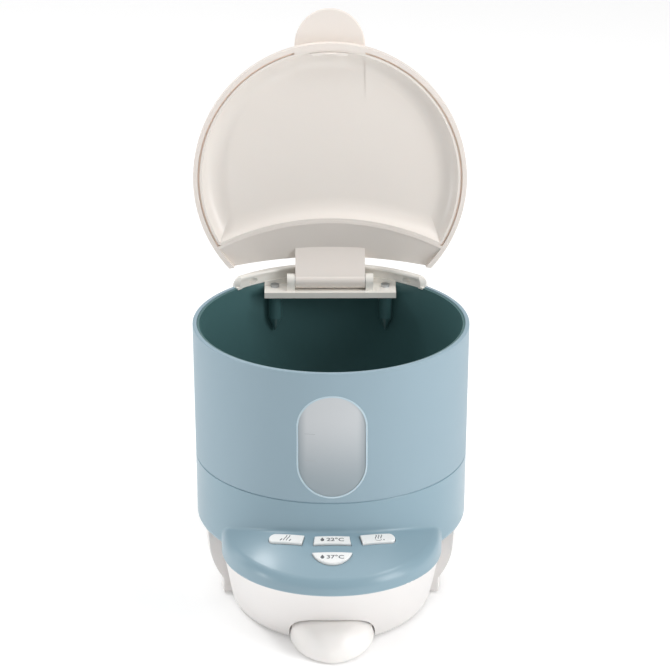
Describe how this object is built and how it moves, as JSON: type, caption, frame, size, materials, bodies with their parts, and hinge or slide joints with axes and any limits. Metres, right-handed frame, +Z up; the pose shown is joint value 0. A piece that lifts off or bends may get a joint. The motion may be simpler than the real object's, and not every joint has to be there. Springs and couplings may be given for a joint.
{
  "type": "baby formula maker",
  "caption": "Countertop warmer and steam steriliser for baby bottles: a tapered drum chamber with a window, hinged round lid, sloping key panel and a drip tray.",
  "frame": {"origin": "middle of the whole object's box at the level of the feet's undersides, with the lid open", "axes": "+Z up, -Y towards the front with the keys and the drip tray, +X to the right seen from the front"},
  "size_m": [0.141, 0.1788, 0.2861],
  "materials": {
    "white_base": "smooth moulded satin",
    "white_cover": "fine moulded texture",
    "white_tray": "smooth moulded satin",
    "dark_rubber": "matt",
    "screw_steel": "zinc plated",
    "blue_drum": "fine moulded satin",
    "blue_panel": "smooth moulded satin",
    "blue_liner": "smooth moulded",
    "frosted_window": "frosted",
    "pale_silicone": "matt silicone",
    "grey_silicone": "matt silicone",
    "white_hinge": "smooth moulded satin",
    "pin_steel": "ground",
    "stainless_plate": "spun stainless steel",
    "cast_aluminium": "as cast",
    "spring_steel": "rolled strip",
    "brass_probe": "drawn",
    "fuse_body": "glazed ceramic body",
    "white_pipe": "smooth moulded",
    "board_green": "solder-masked board",
    "black_parts": "moulded",
    "terminal_green": "moulded",
    "lead_cover": "insulation",
    "cable_grey": "insulation",
    "black_inlet": "moulded",
    "pin_nickel": "nickel plated",
    "cream_lid": "smooth moulded satin",
    "cream_liner": "smooth moulded satin",
    "cream_latch": "smooth moulded satin",
    "white_key": "smooth moulded"
  },
  "bodies": {
    "machine": {"base_shell": "white_base", "front_bowl": "white_base", "bottom_cover": "white_cover", "rubber_feet": "dark_rubber", "cover_screws": "screw_steel", "drum_sleeve": "blue_drum", "panel_collar": "blue_panel", "chamber_liner": "blue_liner", "liner_screws": "screw_steel", "window_pane": "frosted_window", "window_gasket": "pale_silicone", "hinge_block": "white_hinge", "hinge_pin": "pin_steel", "hinge_screws": "screw_steel", "heating_plate": "stainless_plate", "plate_seal": "grey_silicone", "heating_element": "cast_aluminium", "plate_clips": "spring_steel", "clip_screws": "screw_steel", "temperature_probe": "brass_probe", "thermal_fuse": "fuse_body", "overflow_pipe": "white_pipe", "power_board": "board_green", "power_parts": "black_parts", "terminal_block": "terminal_green", "heater_leads": "lead_cover", "control_board": "board_green", "tact_switches": "black_parts", "board_screws": "screw_steel", "panel_cable": "cable_grey", "mains_inlet": "black_inlet", "inlet_pins": "pin_nickel", "mains_leads": "lead_cover"},
    "tray": {"drip_tray": "white_tray"},
    "lid": {"lid_shell": "cream_lid", "lid_liner": "cream_liner", "lid_seal": "grey_silicone", "lid_latch": "cream_latch"},
    "warm_button": {"warm_button": "white_key"},
    "water_22_button": {"water_22_button": "white_key"},
    "water_37_button": {"water_37_button": "white_key"},
    "sterilise_button": {"sterilise_button": "white_key"}
  },
  "joints": [
    {"name": "lid_hinge", "type": "hinge", "parent": "machine", "child": "lid", "pos_m": [0, 0.06155, 0.147], "axis": [1, 0, 0], "range_deg": [0, 98]},
    {"name": "tray_slide", "type": "slide", "parent": "machine", "child": "tray", "axis": [0, -1, 0], "range_m": [0, 0.062]},
    {"name": "warm_press", "type": "slide", "parent": "machine", "child": "warm_button", "axis": [0, 0.4633, -0.8862], "range_m": [0, 0.0009], "stiffness_N_per_m": 800, "springref_m": -0.0006},
    {"name": "water_22_press", "type": "slide", "parent": "machine", "child": "water_22_button", "axis": [0, 0.4633, -0.8862], "range_m": [0, 0.0009], "stiffness_N_per_m": 800, "springref_m": -0.0006},
    {"name": "water_37_press", "type": "slide", "parent": "machine", "child": "water_37_button", "axis": [0, 0.4633, -0.8862], "range_m": [0, 0.0009], "stiffness_N_per_m": 800, "springref_m": -0.0006},
    {"name": "sterilise_press", "type": "slide", "parent": "machine", "child": "sterilise_button", "axis": [0, 0.4633, -0.8862], "range_m": [0, 0.0009], "stiffness_N_per_m": 800, "springref_m": -0.0006}
  ]
}
